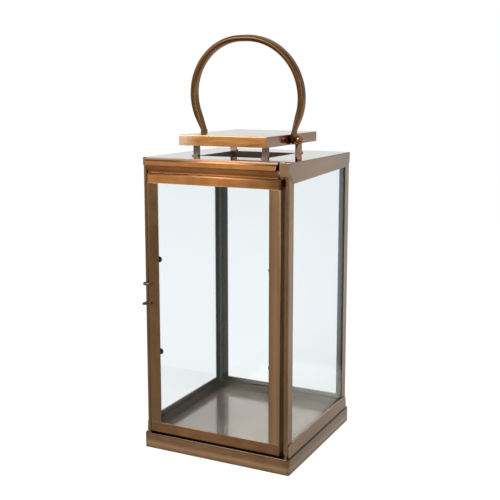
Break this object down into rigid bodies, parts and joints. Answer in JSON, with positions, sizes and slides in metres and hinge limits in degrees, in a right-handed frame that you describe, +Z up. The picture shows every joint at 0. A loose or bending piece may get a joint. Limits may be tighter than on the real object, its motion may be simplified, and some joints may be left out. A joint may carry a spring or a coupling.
{
  "type": "hurricane candle lantern",
  "caption": "Square hurricane lantern: copper-bronze sheet frame on a plinth, glass walls, hinged glazed door with a swing hook, vented flat top, raised cap and a tall bail handle.",
  "frame": {"origin": "centre of the plinth's flat underside", "axes": "+Z up, -Y towards the front (the door), +X to the lantern's right as seen from the front"},
  "size_m": [0.1808, 0.1832, 0.4637],
  "materials": {
    "bronze_metal": "copper-bronze plated, satin",
    "polished_copper": "mirror-polished copper plate",
    "dark_metal": "dark bronze, satin",
    "copper_fittings": "polished copper plate",
    "clear_glass": "clear float glass"
  },
  "bodies": {
    "frame": {"base_plinth": "bronze_metal", "base_bottom_plate": "dark_metal", "floor_plate": "polished_copper", "corner_post_front_left": "bronze_metal", "corner_post_front_right": "bronze_metal", "corner_post_back_left": "bronze_metal", "corner_post_back_right": "bronze_metal", "door_stop_left": "dark_metal", "door_stop_right": "dark_metal", "front_sill": "bronze_metal", "bottom_rail_left": "bronze_metal", "bottom_rail_right": "bronze_metal", "bottom_rail_back": "bronze_metal", "top_rail_left": "bronze_metal", "top_rail_right": "bronze_metal", "top_rail_back": "bronze_metal", "top_rail_front": "bronze_metal", "top_plate": "polished_copper", "glass_left": "clear_glass", "glass_right": "clear_glass", "glass_back": "clear_glass", "glass_clips_left": "dark_metal", "glass_clips_right": "dark_metal", "glass_clips_back": "dark_metal", "vent_cap": "polished_copper", "vent_strap_front_left": "bronze_metal", "vent_strap_front_right": "bronze_metal", "vent_strap_back_left": "bronze_metal", "vent_strap_back_right": "bronze_metal", "hinge_pin_top": "dark_metal", "hinge_pin_bottom": "dark_metal", "latch_stud": "bronze_metal", "handle_screw_left": "copper_fittings", "handle_screw_right": "copper_fittings", "handle_spacer_left": "dark_metal", "handle_spacer_right": "dark_metal", "handle_nut_left": "dark_metal", "handle_nut_right": "dark_metal"},
    "door": {"door_rail_bottom": "bronze_metal", "door_rail_top": "bronze_metal", "door_stile_left": "bronze_metal", "door_stile_right": "bronze_metal", "door_glass": "clear_glass", "door_glass_clips": "dark_metal", "door_pull": "copper_fittings", "latch_rivet": "copper_fittings"},
    "latch": {"latch_hook": "copper_fittings"},
    "handle": {"handle": "bronze_metal"}
  },
  "joints": [
    {"name": "door_hinge", "type": "hinge", "parent": "frame", "child": "door", "pos_m": [0.0752, -0.0849, 0.166], "axis": [0, 0, 1], "range_deg": [0, 120]},
    {"name": "latch_pivot", "type": "hinge", "parent": "door", "child": "latch", "pos_m": [-0.08, -0.0892, 0.1688], "axis": [0, 1, 0], "range_deg": [0, 36]},
    {"name": "handle_pivot", "type": "hinge", "parent": "frame", "child": "handle", "pos_m": [0, -0.0052, 0.3499], "axis": [1, 0, 0], "range_deg": [-100, 90]}
  ]
}
